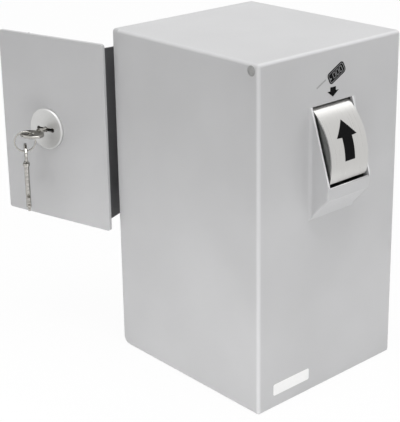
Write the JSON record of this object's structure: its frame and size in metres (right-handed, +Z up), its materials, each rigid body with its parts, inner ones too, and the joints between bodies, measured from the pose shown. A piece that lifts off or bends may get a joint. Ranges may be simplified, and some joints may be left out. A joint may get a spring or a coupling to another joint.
{
  "type": "key drop box",
  "caption": "Steel key return cabinet with a hooded turning drum in front and a rear access door, open, with a lever lock, its key and a spare on a split ring.",
  "frame": {"origin": "centre of the cabinet's base face, on the floor", "axes": "+Z up; the drum wall faces -Y; the access door is in the +Y wall, hinged at -X, and is shown open"},
  "size_m": [0.2277, 0.3208, 0.3],
  "materials": {
    "painted_shell": "satin powder coat, light grey",
    "painted_door": "satin powder coat, light grey",
    "plug_metal": "domed nickel plug",
    "zinc_sheet": "zinc-plated sheet steel",
    "zinc_hardware": "zinc-plated fasteners",
    "bright_steel": "turned bright steel",
    "spring_steel": "phosphated spring steel",
    "brushed_skin": "brushed stainless sheet",
    "bush_plastic": "natural nylon",
    "brushed_rose": "satin stainless",
    "lock_brass": "turned brass",
    "nickel_key": "nickel-plated key",
    "nickel_ring": "nickel-plated spring wire"
  },
  "bodies": {
    "housing": {"body_shell": "painted_shell", "rear_pan": "painted_shell", "drum_hood": "painted_shell", "corner_plug": "plug_metal", "left_drum_bracket": "zinc_sheet", "right_drum_bracket": "zinc_sheet", "bracket_studs": "zinc_hardware", "bracket_nuts": "zinc_hardware", "drum_stop_rods": "zinc_hardware", "drum_shaft": "bright_steel", "shaft_clips": "spring_steel", "upper_hinge_lugs": "painted_shell", "lower_hinge_lugs": "painted_shell", "hinge_pins": "bright_steel", "bolt_keeper": "zinc_sheet"},
    "drum": {"drum_skin": "brushed_skin", "left_drum_cheek": "zinc_sheet", "right_drum_cheek": "zinc_sheet", "drum_tray": "zinc_sheet", "drum_bushes": "bush_plastic"},
    "door": {"door_plate": "painted_door", "door_channel": "painted_door", "upper_hinge_arm": "painted_door", "lower_hinge_arm": "painted_door", "lock_escutcheon": "brushed_rose", "lock_case": "zinc_sheet", "lock_cover": "zinc_sheet", "lock_screws": "zinc_hardware"},
    "curtain": {"key_curtain": "lock_brass"},
    "bolt": {"lock_bolt": "bright_steel"},
    "key": {"lock_key": "nickel_key"},
    "ring": {"key_ring": "nickel_ring"},
    "spare": {"spare_key": "nickel_key"}
  },
  "joints": [
    {"name": "door_swing", "type": "hinge", "parent": "housing", "child": "door", "pos_m": [-0.076, 0.08, 0.20005], "axis": [0, 0, 1], "range_deg": [-104, 4]},
    {"name": "drum_turn", "type": "hinge", "parent": "housing", "child": "drum", "pos_m": [0, -0.056, 0.2078], "axis": [-1, 0, 0], "range_deg": [0, 62]},
    {"name": "lock_turn", "type": "hinge", "parent": "door", "child": "curtain", "pos_m": [-0.10486, 0.15896, 0.20005], "axis": [-0.9703, -0.2419, 0], "range_deg": [0, 180]},
    {"name": "bolt_throw", "type": "slide", "parent": "door", "child": "bolt", "axis": [-0.2419, 0.9703, 0], "range_m": [0, 0.01]},
    {"name": "key_slide", "type": "slide", "parent": "curtain", "child": "key", "axis": [-0.9703, -0.2419, 0], "range_m": [0, 0.03]},
    {"name": "ring_swing", "type": "hinge", "parent": "key", "child": "ring", "pos_m": [-0.13525, 0.15619, 0.2016], "axis": [-0.8572, 0.515, 0], "range_deg": [-5, 15]},
    {"name": "spare_swing", "type": "hinge", "parent": "ring", "child": "spare", "pos_m": [-0.13525, 0.15619, 0.18447], "axis": [-0.8572, 0.515, 0], "range_deg": [-15, 30]}
  ],
  "couplings": [
    {"joint": "lock_turn", "follows": "bolt_throw", "rad_per_m": 314.16}
  ]
}
